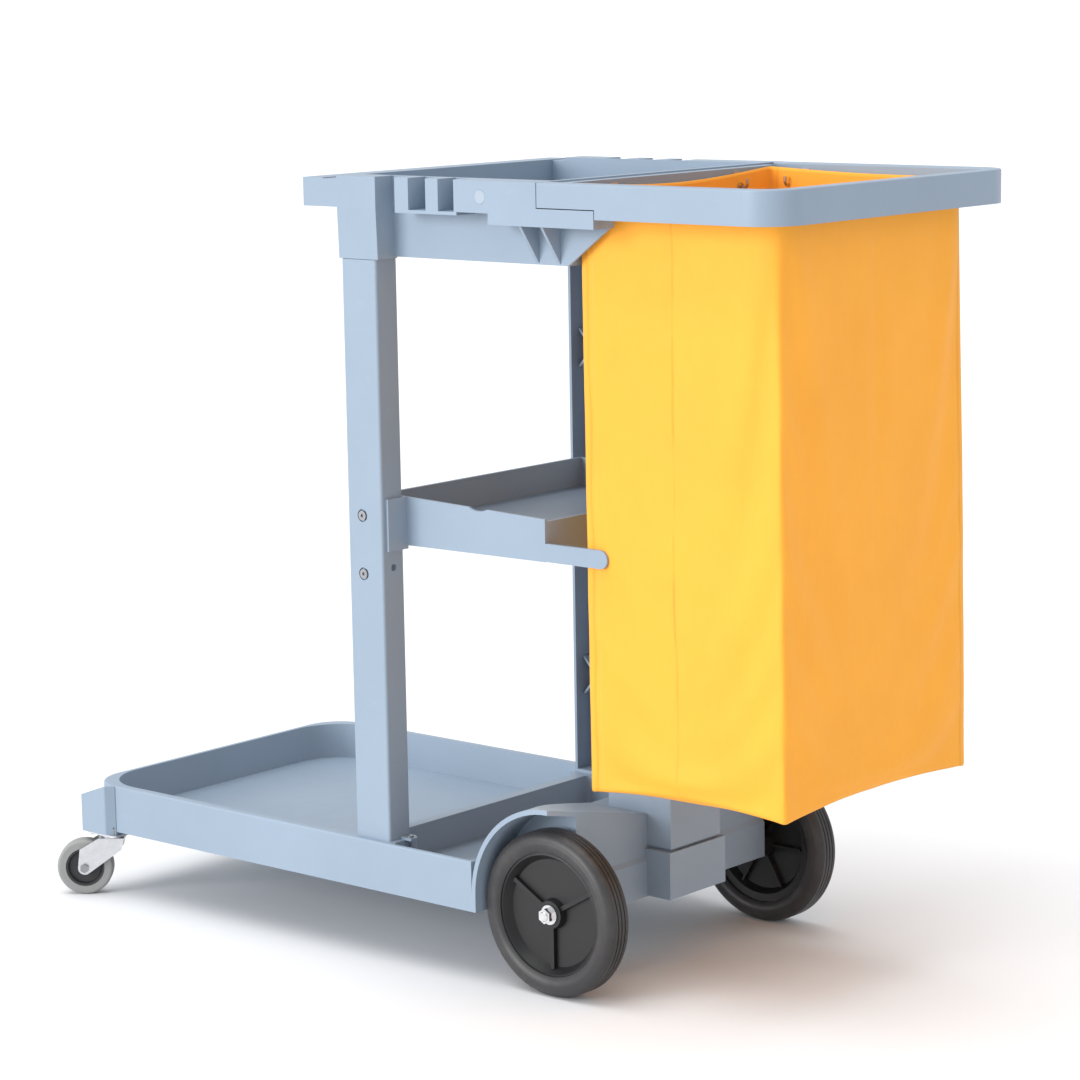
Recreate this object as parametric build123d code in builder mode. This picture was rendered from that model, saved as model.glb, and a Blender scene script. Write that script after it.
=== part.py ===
"""Housekeeping cart: moulded platform, two channel uprights, mid shelf, top tray, hanging bag.

Millimetres. +X points from the platform towards the bag, +Y to the far side, +Z up.
The origin is on the floor, under the centre of the cart.
"""

import os
from math import cos, radians, sin, sqrt

from build123d import *

os.makedirs("parts", exist_ok=True)

# Overall sizes
platform_front = -563.0
rim_end = 597.0
cart_height = 975.0

# Platform moulding
base_bottom = 90.0
base_top = 153.0
base_half = 239.0
base_corner_r = 55.0
platform_floor = 105.0
platform_wall = 11.0
tray_rear_x = -57.0
tray_corner_r = 72.0
arch_x = 132.0
arch_r = 123.0
arch_center = (arch_x + arch_r, 112.0)
fender_skin = 6.0
well_half = 184.0
column_half = 49.0
housing_rear = 253.0
housing_dip = 193.0
housing_step = 140.0
pocket_floor = 112.0
boss_bottom = 86.0
boss_outer = 250.0
boss_inner = 194.0
boss_rear = -507.0

# Rear wheels, 8 inch, on one fixed steel axle
axle_x = 241.0
wheel_r = 101.5
tyre_width = 40.0
wheel_outer = 228.0
axle_r = 6.0
hub_rim_r = 76.0
bush_r = 8.0
hub_inner = 187.0
hub_outer = 229.0

# Uprights: channels that open towards the middle of the cart
post_x = (-68.5, -11.0)
post_outer = 230.0
neck_outer = 226.5
post_depth = 35.5
post_wall = 4.0
post_top = 955.0
bolt_x = -44.0
bolt_z = (487.5, 560.0)

# Mid shelf
shelf_x = (-47.0, 217.0)
shelf_half = 190.0
shelf_bottom = 521.0
shelf_floor = 545.0
shelf_wall = 4.0
lip_end = 312.0

# Top tray
cap_x = (-71.5, -7.0)
cap_screw = (213.0, 905.0)
cap_bottom = 875.0
top_half = 232.0
tub_half = 200.0
top_front = -128.0
top_rear = 269.0
tub_bottom = 877.0
shallow_floor = 941.0
low_rim = 971.0
front_rim = 972.0
ledge_z = 937.0
band_bottom = 924.0
band_x = 175.0
flare_x = 124.0
shoulder_half = 237.0
lap_x = (252.0, 338.0)
lap_gap = 1.2
lap_z = 945.0
skin = 4.0
slots_x = ((-7.0, 25.0), (47.0, 75.0), (95.0, 120.0))
plug_x = 163.0
plug_seat = 232.6

# Bag frame
frame_half = 237.0
frame_bottom = 935.0
frame_corner_r = 47.0
frame_width = 22.0
frame_skin = 4.0

# Bag
bag_x = (275.0, 565.0)
bag_half = 184.0
bag_bottom = 247.0
bag_top = 967.0
bag_skin = 2.5
hook_z = 950.0
hook_screw_z = 961.0
side_hook_x = (304.0, 534.0)
arm_screw = (300.0, 222.0)
end_hook_y = 118.0

# Swivel casters, 75 mm, trailing outwards at rest
caster_x = -530.5
caster_y = 223.0
caster_r = 37.5
caster_width = 22.0
caster_trail = 39.3
trail_angle = 41.0
fork_gap = 26.0
fork_skin = 2.5
plate_top = boss_bottom
plate_thick = 2.5
race_height = 6.0

near = -1
far = 1


def block(xs, ys, zs, mode=Mode.ADD):
    """A box between two x, two y and two z values."""
    center = tuple((pair[0] + pair[1]) / 2 for pair in (xs, ys, zs))
    size = tuple(abs(pair[1] - pair[0]) for pair in (xs, ys, zs))
    with Locations(center):
        Box(*size, mode=mode)


def side_band(side, inner, outer):
    """The y range from inner to outer on one side of the cart."""
    return (side * inner, side * outer)


def rod(x, z, radius, ys, mode=Mode.ADD):
    """A cylinder along Y at (x, z)."""
    with Locations((x, (ys[0] + ys[1]) / 2, z)):
        Cylinder(radius, abs(ys[1] - ys[0]), rotation=(90, 0, 0), mode=mode)


def save(part, name):
    """Label one finished piece and write it to its own file."""
    part.label = name
    export_step(part, f"parts/{name}.step")


# Platform ------------------------------------------------------------------------------


def arch_profile(inset, bottom):
    """Quarter-round side view of the wheel housing, inset by a skin thickness."""
    x0 = arch_x + inset
    radius = arch_r - inset
    half = radius / sqrt(2)
    cx, cz = arch_center
    with BuildSketch() as profile:
        with BuildLine():
            Line((x0, bottom), (x0, cz))
            ThreePointArc((x0, cz), (cx - half, cz + half), (cx, cz + radius))
            Polyline((cx, cz + radius), (cx + 60, cz + radius), (cx + 60, bottom), (x0, bottom))
        make_face()
    return profile.sketch


def arch_solid(side, inset, band, rear, bottom):
    """A stretch of the housing over a band of y, its roof dipping towards the column."""
    rise = arch_center[1] + arch_r - inset
    dip = housing_dip - inset
    with BuildPart() as solid:
        with BuildSketch(Plane.XZ.offset(-side * band[0])):
            add(arch_profile(inset, bottom))
        extrude(amount=-side * (band[1] - band[0]))
        block((rear, rear + 90), (-260, 260), (bottom - 1, rise + 1), mode=Mode.SUBTRACT)
        with BuildSketch(Plane.YZ.offset(arch_x - 5)):
            with BuildLine():
                Polyline(
                    (side * base_half, rise),
                    (side * column_half, dip),
                    (0, dip),
                    (0, rise + 40),
                    (side * base_half, rise + 40),
                    close=True,
                )
            make_face()
        extrude(amount=rear - arch_x + 15, mode=Mode.SUBTRACT)
    return solid.part


def corner_block(side):
    """The block over one caster, with a sloping top and a ramp back to the side wall."""
    with BuildPart() as corner:
        with BuildSketch(Plane.XZ.offset(-side * boss_inner)):
            with BuildLine():
                Polyline(
                    (platform_front, boss_bottom),
                    (boss_rear, boss_bottom),
                    (boss_rear, base_top - 1),
                    (platform_front + 44, base_top - 1),
                    (platform_front, base_top - 17),
                    close=True,
                )
            make_face()
        extrude(amount=-side * (boss_outer - boss_inner))
        upright_edges = corner.edges().filter_by(Axis.Z).sort_by(Axis.Y)
        outer_edges = upright_edges[-2:] if side == far else upright_edges[:2]
        chamfer(outer_edges.sort_by(Axis.X)[-1], 10)
        upright_edges = corner.edges().filter_by(Axis.Z).sort_by(Axis.Y)
        outer_edges = upright_edges[-1:] if side == far else upright_edges[:1]
        fillet(outer_edges, 4)
    return corner.part


def base_platform():
    wall = 4.0
    with BuildPart() as base:
        with BuildSketch(Plane.XY.offset(base_bottom)) as outline:
            with Locations(((platform_front + arch_x) / 2, 0)):
                Rectangle(arch_x - platform_front, 2 * base_half)
            fillet(outline.vertices().sort_by(Axis.X)[:2], base_corner_r)
        extrude(amount=base_top - base_bottom)
        fillet(base.faces().sort_by(Axis.Z)[-1].edges(), 2.5)

        # Corner blocks over the casters, their tops sloping down to the front
        for side in (near, far):
            add(corner_block(side))

        # Platform tray, with a rounded opening and drafted walls
        with BuildSketch(Plane.XY.offset(base_top)):
            length = tray_rear_x - platform_front - 8.0
            with Locations((tray_rear_x - length / 2, 0)):
                RectangleRounded(length, 2 * (base_half - platform_wall), tray_corner_r)
        extrude(amount=-(base_top - platform_floor), taper=5, mode=Mode.SUBTRACT)

        # Deep pocket between the tray's rear wall and the wheel housings
        with BuildSketch(Plane.XY.offset(pocket_floor)) as pocket:
            with Locations(((-41 + arch_x - wall) / 2, 0)):
                Rectangle(arch_x - wall + 41, 2 * 186)
            with Locations(((-3 + arch_x - wall) / 2, 0)):
                Rectangle(arch_x - wall + 3, 2 * (base_half - 5))
            fillet(pocket.vertices(), 7)
        extrude(amount=base_top - pocket_floor, mode=Mode.SUBTRACT)

        # Seats that carry the uprights
        for side in (near, far):
            block((-74, -5), side_band(side, 188, 234), (platform_floor - 4, base_top))

        # Underside bays with cross ribs between them
        with Locations((-282, 0, base_bottom + 5)):
            with GridLocations(148, 226, 3, 2):
                Box(142, 220, 12, mode=Mode.SUBTRACT)
        with Locations((42, 0, base_bottom + 8.5)):
            with GridLocations(1, 226, 1, 2):
                Box(160, 220, 19, mode=Mode.SUBTRACT)

        # Housing across the cart between the wheel wells, open below, and the fenders beside it
        for side in (near, far):
            add(arch_solid(side, 0, (0, well_half), housing_rear, base_bottom))
            add(arch_solid(side, 0, (well_half, base_half), arch_center[0], base_bottom))
            void = arch_solid(side, fender_skin, (well_half, base_half + 1), 300, base_bottom - 5)
            add(void, mode=Mode.SUBTRACT)
            void = arch_solid(side, wall, (0, well_half - wall), housing_rear - wall, base_bottom - 5)
            add(void, mode=Mode.SUBTRACT)
        # Lower part of the rear face, standing proud of the upper part
        with BuildSketch(Plane.XZ):
            with BuildLine():
                Polyline(
                    (housing_rear - 1, base_bottom),
                    (housing_rear + 4, base_bottom),
                    (housing_rear + 4, housing_step - 5),
                    (housing_rear - 1, housing_step + 2),
                    close=True,
                )
            make_face()
        extrude(amount=well_half, both=True)

        # Rear column above a lower block, with a groove between them
        block((arch_x + 60, 290), (-column_half, column_half), (base_top, 226))
        block((housing_rear - wall, 286), (-46, 46), (149, base_top + 1))
        block((housing_rear - wall, 293), (-55, 55), (91, 150))
        block((arch_x + 64, 285), (-column_half + wall, column_half - wall), (86, 222), mode=Mode.SUBTRACT)

        # Axle bosses and bore
        for side in (near, far):
            rod(axle_x, wheel_r, 10.0, side_band(side, 120, well_half))
        rod(axle_x, wheel_r, axle_r + 0.05, (-well_half - 1, well_half + 1), mode=Mode.SUBTRACT)

        # Pilot holes: foot screws and caster plate screws
        for side in (near, far):
            with Locations((1.0, side * 206.0, base_top)):
                Cylinder(2.0, 30, mode=Mode.SUBTRACT)
            for dx, dy in plate_screw_offsets():
                with Locations((caster_x + dx, side * caster_y + dy, boss_bottom + 5)):
                    Cylinder(2.0, 10.01, mode=Mode.SUBTRACT)
    return base.part


# Uprights ------------------------------------------------------------------------------


def upright(side):
    inner = post_outer - post_depth
    width = post_x[1] - post_x[0]
    center_x = (post_x[0] + post_x[1]) / 2
    with BuildPart() as post:
        with BuildSketch(Plane.XY.offset(base_top)) as section:
            with Locations((center_x, side * (inner + post_outer) / 2)):
                Rectangle(width, post_depth)
            corners = section.vertices().sort_by(Axis.Y)
            fillet(corners[-2:] if side == far else corners[:2], 3.5)
            with Locations((center_x, side * (inner - 1 + post_outer - post_wall) / 2)):
                Rectangle(width - 2 * post_wall, post_depth - post_wall + 1, mode=Mode.SUBTRACT)
        extrude(amount=post_top - base_top)
        block(
            (post_x[0] + 1, post_x[1] - 1),
            side_band(side, inner, post_outer - 1),
            (base_top, base_top + 4),
        )
        # Necked and cut back where the tray's cap slips over
        block(post_x, side_band(side, neck_outer - post_wall, neck_outer + 1), (cap_bottom - 8, post_top))
        for edge in ((inner - 1, tub_half + 0.1), (neck_outer, post_outer + 1)):
            block(
                (post_x[0] - 1, post_x[1] + 1),
                side_band(side, *edge),
                (cap_bottom - 0.6, post_top + 1),
                mode=Mode.SUBTRACT,
            )
        # Crossed stiffening ribs
        span = width - 2 * post_wall
        rib = 46.0
        for z in (284, 725):
            for turn in (-1, 1):
                with Locations((center_x, side * (post_outer - post_wall - 9), z)):
                    with Locations(Rotation(0, turn * 42, 0)):
                        Box(3, 18.2, sqrt(span**2 + rib**2), mode=Mode.ADD)
        block((post_x[0] - 20, post_x[0]), (side * 150, side * 240), (200, 800), mode=Mode.SUBTRACT)
        block((post_x[1], post_x[1] + 20), (side * 150, side * 240), (200, 800), mode=Mode.SUBTRACT)
        # Foot flange for the screw into the platform
        block((post_x[1] - 1, 8), side_band(side, inner + 5, inner + 18), (base_top, base_top + 3))
        with Locations((1.0, side * 206.0, base_top + 2)):
            Cylinder(2.6, 6, mode=Mode.SUBTRACT)
        # Counterbored bolt holes on the outer face
        for z in bolt_z:
            rod(bolt_x, z, 3.2, side_band(side, post_outer - 6, post_outer + 1), mode=Mode.SUBTRACT)
            rod(bolt_x, z, 8.0, side_band(side, post_outer - 2.6, post_outer + 1), mode=Mode.SUBTRACT)
        # Spare adjustment hole in the side, and the top fixing hole
        with Locations((post_x[1] - 2, side * 211.0, 496.0)):
            Cylinder(4.5, 10, rotation=(0, 90, 0), mode=Mode.SUBTRACT)
        with Locations((post_x[0], side * cap_screw[0], cap_screw[1])):
            Cylinder(2.0, 12, rotation=(0, 90, 0), mode=Mode.SUBTRACT)
    return post.part


# Mid shelf -----------------------------------------------------------------------------


def mid_shelf():
    x0, x1 = shelf_x
    cap_z = 583.0
    end_z = 574.0
    boss_end = post_outer - post_wall - 0.2
    with BuildPart() as shelf:
        # Side view: level bottom, top edge falling slightly, low lips running on to the bag
        with BuildSketch(Plane.XZ):
            with BuildLine():
                Polyline(
                    (x0, shelf_bottom),
                    (x1, shelf_bottom + 1.5),
                    (x1, end_z),
                    (x0, cap_z),
                    close=True,
                )
            make_face()
        extrude(amount=shelf_half, both=True)
        inner = shelf_half - shelf_wall
        block((x0 + shelf_wall, x1 - shelf_wall), (-inner, inner), (shelf_floor, 600), mode=Mode.SUBTRACT)
        block(
            (x0 + shelf_wall, x1 - shelf_wall),
            (-inner, inner),
            (shelf_bottom - 5, shelf_floor - 4),
            mode=Mode.SUBTRACT,
        )
        # The rear wall is lower than the sides
        block((x1 - 2 * shelf_wall, x1 + 1), (-inner, inner), (571, 600), mode=Mode.SUBTRACT)
        # Stiffening ribs below the floor
        for y in (-95, 0, 95):
            block((x0 + 1, x1 - 1), (y - 1.5, y + 1.5), (shelf_bottom + 3, shelf_floor - 3))
        # Lips that reach past both sides of the bag
        for side in (near, far):
            with BuildSketch(Plane.XZ.offset(-side * (shelf_half - 5))):
                with BuildLine():
                    Line((x1 - 5, shelf_floor), (lip_end - 12, shelf_floor))
                    ThreePointArc(
                        (lip_end - 12, shelf_floor),
                        (lip_end, 534),
                        (lip_end - 12, 523),
                    )
                    Polyline((lip_end - 12, 523), (x1 - 5, 523), (x1 - 5, shelf_floor))
                make_face()
            extrude(amount=-side * 5)
            # Flange against the upright, and its bolt bosses inside the channel
            block((post_x[1], post_x[1] + 4), side_band(side, shelf_half - 2, 223), (517, 582))
            block((-47, -41), side_band(side, shelf_half - 4, boss_end), (476, 574))
            for z in bolt_z:
                rod(bolt_x, z, 11, side_band(side, shelf_half - 4, boss_end))
                rod(bolt_x, z, 3.02, side_band(side, 197, boss_end + 1), mode=Mode.SUBTRACT)
            # Finger notch in the top edge
            with Locations((111, side * shelf_half, 605)):
                Cylinder(31, 12, rotation=(90, 0, 0), mode=Mode.SUBTRACT)
    return shelf.part


# Top tray ------------------------------------------------------------------------------


def rim_flare(side, start, floor):
    """The outer skin of one side rim, flaring from the slots to the shoulder."""
    slope = (shoulder_half - top_half) / (lap_x[0] - flare_x)
    with BuildPart() as flare:
        with BuildSketch(Plane.XY.offset(floor)):
            with BuildLine():
                Polyline(
                    (start, side * (top_half - 1)),
                    (start, side * (top_half + slope * (start - flare_x))),
                    (lap_x[0], side * shoulder_half),
                    (lap_x[0], side * (top_half - 1)),
                    close=True,
                )
            make_face()
        extrude(amount=cart_height - floor)
    return flare.part


def top_tray():
    with BuildPart() as tray:
        # Rim slab around the whole top, with its skirt
        block((top_front, lap_x[0]), (-top_half, top_half), (shallow_floor - 4, cart_height))
        block((band_x, lap_x[0]), (-top_half, top_half), (band_bottom, shallow_floor))
        # Lowered shoulders that carry the bag frame's arms
        for side in (near, far):
            block((lap_x[0] - 1, lap_x[1]), side_band(side, tub_half, shoulder_half), (band_bottom, lap_z))
        # Cross member behind the tub
        block((lap_x[0] - 10, top_rear), (-tub_half, tub_half), (tub_bottom, cart_height - 2))
        # Deep tub walls below the rim
        block((cap_x[1] - 4, lap_x[0]), (-tub_half, tub_half), (tub_bottom, shallow_floor))
        # Side cheeks under the shoulders, ending in a slope
        for side in (near, far):
            with BuildSketch(Plane.XZ.offset(-side * (tub_half - skin))):
                with BuildLine():
                    Polyline(
                        (lap_x[0] - 10, tub_bottom),
                        (268, tub_bottom),
                        (336, band_bottom + 3),
                        (lap_x[0] - 10, band_bottom + 3),
                        close=True,
                    )
                make_face()
            extrude(amount=-side * skin)

        # Inside of the deep tub, and of the shallow front part
        inner = tub_half - skin
        block(
            (cap_x[1], lap_x[0] - 10),
            (-inner, inner),
            (tub_bottom + 4, cart_height + 1),
            mode=Mode.SUBTRACT,
        )
        block(
            (top_front + 34, cap_x[1] + 1),
            (-inner, inner),
            (shallow_floor, cart_height + 1),
            mode=Mode.SUBTRACT,
        )
        # Hollow of the cross member
        block(
            (lap_x[0] - 6, top_rear - 4),
            (-inner, inner),
            (tub_bottom - 1, cart_height - 6),
            mode=Mode.SUBTRACT,
        )
        # Hollows of the side rims
        for side in (near, far):
            block(
                (-3, lap_x[0] - 4),
                side_band(side, tub_half, top_half - skin),
                (band_bottom - 1, cart_height - 4),
                mode=Mode.SUBTRACT,
            )
            block(
                (lap_x[0], lap_x[1] - 4),
                side_band(side, tub_half + skin, top_half - skin),
                (band_bottom - 1, lap_z - 4),
                mode=Mode.SUBTRACT,
            )
            # Hollow of the front rim beside the shallow part
            block(
                (top_front + 4, cap_x[0] - 4),
                side_band(side, tub_half, top_half - skin),
                (shallow_floor - 5, low_rim - skin),
                mode=Mode.SUBTRACT,
            )
        block(
            (top_front + 4, top_front + 30),
            (-top_half + skin, top_half - skin),
            (shallow_floor - 5, front_rim - skin),
            mode=Mode.SUBTRACT,
        )
        # Tool slots through the side rims, each with a floor and two cheeks
        for side in (near, far):
            block(
                (slots_x[0][1], slots_x[-1][1] + 4),
                side_band(side, tub_half, top_half),
                (ledge_z - 4, cart_height - 2),
            )
            for slot in slots_x:
                block(
                    slot,
                    side_band(side, tub_half + 1, top_half + 1),
                    (ledge_z, cart_height + 1),
                    mode=Mode.SUBTRACT,
                )
            for left, right in zip(slots_x, slots_x[1:]):
                block(
                    (left[1] + 4, right[0] - 4),
                    side_band(side, tub_half + 3, top_half - skin),
                    (ledge_z - 5, cart_height - 4),
                    mode=Mode.SUBTRACT,
                )
            # Triangular gussets under the rim
            for x in (222, 255):
                with BuildSketch(Plane.YZ.offset(x - 2)):
                    with BuildLine():
                        Polyline(
                            (side * (tub_half - 1), tub_bottom),
                            (side * (tub_half - 1), band_bottom + 3),
                            (side * (top_half - 1), band_bottom + 3),
                            (side * (top_half - 1), band_bottom - 1),
                            close=True,
                        )
                    make_face()
                extrude(amount=4)
            # Level web between the tub wall and the skirt
            block(
                (band_x, lap_x[0]),
                side_band(side, tub_half - 1, top_half - 1),
                (band_bottom, band_bottom + 3),
            )

        # The side rims flare out to meet the bag frame's arms
        for side in (near, far):
            for start, floor in ((flare_x, ledge_z), (band_x, band_bottom)):
                add(rim_flare(side, start, floor))

        # Caps over the uprights
        for side in (near, far):
            with BuildSketch(Plane.YZ.offset(cap_x[0])):
                with BuildLine():
                    Polyline(
                        (side * (tub_half - skin), cap_bottom),
                        (side * (top_half - 2), cap_bottom),
                        (side * top_half, ledge_z),
                        (side * top_half, cart_height - 2),
                        (side * (tub_half - skin), cart_height - 2),
                        close=True,
                    )
                make_face()
            extrude(amount=cap_x[1] - cap_x[0])
            block(
                (post_x[0] - 0.1, post_x[1] + 0.1),
                side_band(side, tub_half, neck_outer + 0.1),
                (cap_bottom - 1, post_top + 0.1),
                mode=Mode.SUBTRACT,
            )
            with Locations((cap_x[0], side * cap_screw[0], cap_screw[1])):
                Cylinder(2.6, 12, rotation=(0, 90, 0), mode=Mode.SUBTRACT)
            # The side rims are lower beside the shallow part, and so is the front rim
            block((top_front + 34, cap_x[0]), side_band(side, 190, 240), (low_rim, 980), mode=Mode.SUBTRACT)
            # Seat of the blank side plug
            rod(plug_x, 956, 6.0, side_band(side, top_half - 5, 240), mode=Mode.SUBTRACT)
            rod(plug_x, 956, 8.2, side_band(side, plug_seat, 240), mode=Mode.SUBTRACT)
            # Screw holes for the bag's rear hooks and for the bag frame's arms
            with Locations((top_rear, side * end_hook_y, hook_screw_z)):
                Cylinder(1.55, 10, rotation=(0, 90, 0), mode=Mode.SUBTRACT)
            # Pad that carries the bag frame's arm, round its screw
            with Locations((arm_screw[0], side * (arm_screw[1] - 4), lap_z)):
                Box(40, 14, 2 * lap_gap)
            with Locations((arm_screw[0], side * arm_screw[1], lap_z - 2)):
                Cylinder(2.2, 12, mode=Mode.SUBTRACT)
        block((top_front - 1, top_front + 34), (-240, 240), (front_rim, 980), mode=Mode.SUBTRACT)
    return tray.part


def bag_frame():
    with BuildPart() as frame:
        with BuildSketch(Plane.XY.offset(frame_bottom)) as plan:
            with Locations(((lap_x[0] + rim_end) / 2, 0)):
                Rectangle(rim_end - lap_x[0], 2 * frame_half)
            fillet(plan.vertices().sort_by(Axis.X)[-2:], frame_corner_r)
            with Locations(((lap_x[0] + rim_end - frame_width) / 2, 0)):
                Rectangle(
                    rim_end - frame_width - lap_x[0],
                    2 * (frame_half - frame_width),
                    mode=Mode.SUBTRACT,
                )
            fillet(plan.vertices().filter_by_position(Axis.X, 560, 590), 25)
        extrude(amount=cart_height - frame_bottom)
        outside = frame.edges().filter_by_position(Axis.Z, cart_height, cart_height)
        fillet(outside.filter_by_position(Axis.X, lap_x[0] + 5, rim_end), 1.8)
        # Hollow from below
        with BuildSketch(Plane.XY.offset(frame_bottom - 1)) as hollow:
            with Locations(((lap_x[1] + rim_end - frame_skin) / 2, 0)):
                Rectangle(rim_end - frame_skin - lap_x[1], 2 * (frame_half - frame_skin))
            fillet(hollow.vertices().sort_by(Axis.X)[-2:], frame_corner_r - frame_skin)
            reach = rim_end - frame_width + frame_skin - lap_x[1]
            with Locations((lap_x[1] + reach / 2, 0)):
                Rectangle(reach, 2 * (frame_half - frame_width + frame_skin), mode=Mode.SUBTRACT)
            fillet(hollow.vertices().filter_by_position(Axis.X, 565, 590), 22)
        extrude(amount=cart_height - frame_bottom - frame_skin + 1, mode=Mode.SUBTRACT)
        # The arms lap over the tray's lowered shoulders
        for side in (near, far):
            block(
                (lap_x[0] - 1, lap_x[1] + lap_gap),
                side_band(side, 200, 240),
                (900, lap_z + lap_gap),
                mode=Mode.SUBTRACT,
            )
            block(
                (lap_x[0] - 1, lap_x[0] + lap_gap),
                side_band(side, 200, 240),
                (900, 980),
                mode=Mode.SUBTRACT,
            )
            with Locations((arm_screw[0], side * arm_screw[1], cart_height)):
                CounterSinkHole(2.6, 5.2)
            # Screw holes of the side hooks
            for x in side_hook_x:
                rod(x, hook_screw_z, 1.55, side_band(side, 214, 222), mode=Mode.SUBTRACT)
        for y in (-end_hook_y, end_hook_y):
            with Locations((rim_end - frame_width, y, hook_screw_z)):
                Cylinder(1.55, 10, rotation=(0, 90, 0), mode=Mode.SUBTRACT)
    return frame.part


# Wheels --------------------------------------------------------------------------------


def rear_tyre(side):
    mid = wheel_outer - tyre_width / 2
    half = tyre_width / 2
    crown = 11.0
    with BuildPart() as tyre:
        with BuildSketch(Plane.XY):
            with BuildLine():
                for way in (-1, 1):
                    Line((hub_rim_r, mid), (hub_rim_r, mid + way * (half - 4)))
                    ThreePointArc(
                        (hub_rim_r, mid + way * (half - 4)),
                        (hub_rim_r + 6, mid + way * (half - 0.6)),
                        (hub_rim_r + 14, mid + way * (half - 0.6)),
                    )
                    ThreePointArc(
                        (hub_rim_r + 14, mid + way * (half - 0.6)),
                        (wheel_r - 3.2, mid + way * (half - 4.2)),
                        (wheel_r, mid + way * crown),
                    )
                    Line((wheel_r, mid + way * crown), (wheel_r, mid))
            make_face()
            # Tread grooves
            for offset in (-6, 0, 6):
                with Locations((wheel_r, mid + offset)):
                    Rectangle(3.2, 1.6, mode=Mode.SUBTRACT)
        revolve(axis=Axis.Y)
    return place_wheel(tyre.part, side)


def place_wheel(part, side):
    """Move a wheel piece, turned about Y through the origin, to its place on one side."""
    moved = Pos(axle_x, 0, wheel_r) * part
    if side == near:
        moved = Pos(axle_x, 0, wheel_r) * mirror(part, about=Plane.XZ)
    return moved


def wheel_hub(side):
    web_in = 205.0
    web_out = 212.0
    with BuildPart() as hub:
        with BuildSketch(Plane.XY):
            with BuildLine():
                Polyline(
                    (bush_r, hub_inner),
                    (17, hub_inner),
                    (18, web_in),
                    (60, web_in),
                    (66, 196),
                    (hub_rim_r, 195.5),
                    (hub_rim_r, 222.5),
                    (73, 223),
                    (66, web_out),
                    (19, web_out),
                    (17, hub_outer - 8),
                    (bush_r, hub_outer - 8),
                    close=True,
                )
            make_face()
        revolve(axis=Axis.Y)
        # Three ribs on the outer face of the web
        for angle in (30, 150, 270):
            with Locations(Rotation(0, -angle, 0)):
                with Locations((42, web_out + 2, 0)):
                    Box(52, 7, 5.5)
        for angle in range(0, 360, 60):
            with Locations(Rotation(0, -angle, 0)):
                with Locations((39, web_in - 3, 0)):
                    Box(46, 8, 3)
    return place_wheel(hub.part, side)


def hub_bush(side):
    with BuildPart() as bush:
        with BuildSketch(Plane.XY):
            with BuildLine():
                Polyline(
                    (axle_r + 0.05, hub_inner - 1),
                    (12, hub_inner - 1),
                    (12, hub_inner),
                    (bush_r, hub_inner),
                    (bush_r, hub_outer - 8),
                    (axle_r + 0.05, hub_outer - 8),
                    close=True,
                )
            make_face()
        revolve(axis=Axis.Y)
    return place_wheel(bush.part, side)


def rear_axle():
    end = hub_outer + 4
    with BuildPart() as axle:
        rod(axle_x, wheel_r, axle_r, (-end, end))
        chamfer(axle.edges().filter_by(GeomType.CIRCLE), 1)
    return axle.part


def axle_washers():
    with BuildPart() as washers:
        for side in (near, far):
            for start in (well_half + 0.3, hub_outer - 7.7):
                ys = side_band(side, start, start + 1.5)
                rod(axle_x, wheel_r, 12.0, ys)
        rod(axle_x, wheel_r, axle_r + 0.05, (-300, 300), mode=Mode.SUBTRACT)
    return washers.part


def axle_nuts():
    start = hub_outer - 6.2
    with BuildPart() as nuts:
        for side in (near, far):
            with BuildSketch(Plane(origin=(axle_x, side * start, wheel_r), z_dir=(0, side, 0))):
                RegularPolygon(9.4, 6)
                Circle(axle_r + 0.02, mode=Mode.SUBTRACT)
            extrude(amount=8.5)
    return nuts.part


# Bag -----------------------------------------------------------------------------------


def eyelet_places():
    """Centre and outward direction of each eyelet in the bag's top edge."""
    places = []
    for side in (near, far):
        for x in side_hook_x:
            places.append(((x, side * bag_half, hook_z), (0, side, 0)))
    for y in (-end_hook_y, end_hook_y):
        places.append(((bag_x[1], y, hook_z), (1, 0, 0)))
        places.append(((bag_x[0], y, hook_z), (-1, 0, 0)))
    return places


def bag():
    center_x = (bag_x[0] + bag_x[1]) / 2
    length = bag_x[1] - bag_x[0]
    with BuildPart() as sack:
        with BuildSketch(Plane.XY.offset(bag_bottom)):
            with Locations((center_x, 0)):
                RectangleRounded(length, 2 * bag_half, 10)
        extrude(amount=bag_top - bag_bottom)
        with BuildSketch(Plane.XY.offset(bag_bottom + bag_skin)):
            with Locations((center_x, 0)):
                RectangleRounded(length - 2 * bag_skin, 2 * (bag_half - bag_skin), 8)
        extrude(amount=bag_top - bag_bottom, mode=Mode.SUBTRACT)
        for place, outward in eyelet_places():
            with BuildSketch(Plane(origin=place, z_dir=outward)):
                Circle(6)
            extrude(amount=10, both=True, mode=Mode.SUBTRACT)
    return sack.part


def bag_eyelets():
    with BuildPart() as eyelets:
        for place, outward in eyelet_places():
            with BuildSketch(Plane(origin=place, z_dir=outward)):
                Circle(10)
                Circle(5, mode=Mode.SUBTRACT)
            extrude(amount=1.2)
            with BuildSketch(Plane(origin=place, z_dir=outward)):
                Circle(5.9)
                Circle(5, mode=Mode.SUBTRACT)
            extrude(amount=-bag_skin)
    return eyelets.part


def hook_route(place, outward):
    """A wire hook that leaves the frame, passes through the eyelet and turns up inside."""
    x, y, z = place
    reach = frame_half - frame_width - bag_half
    if outward == (1, 0, 0):
        reach = rim_end - frame_width - bag_x[1]
    if outward == (-1, 0, 0):
        reach = bag_x[0] - top_rear
    ox, oy, _ = outward
    start = (x + ox * reach, y + oy * reach, z)
    inside = (x - ox * 12, y - oy * 12, z)
    tip = (x - ox * 12, y - oy * 12, z + 11)
    return start, inside, tip


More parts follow.
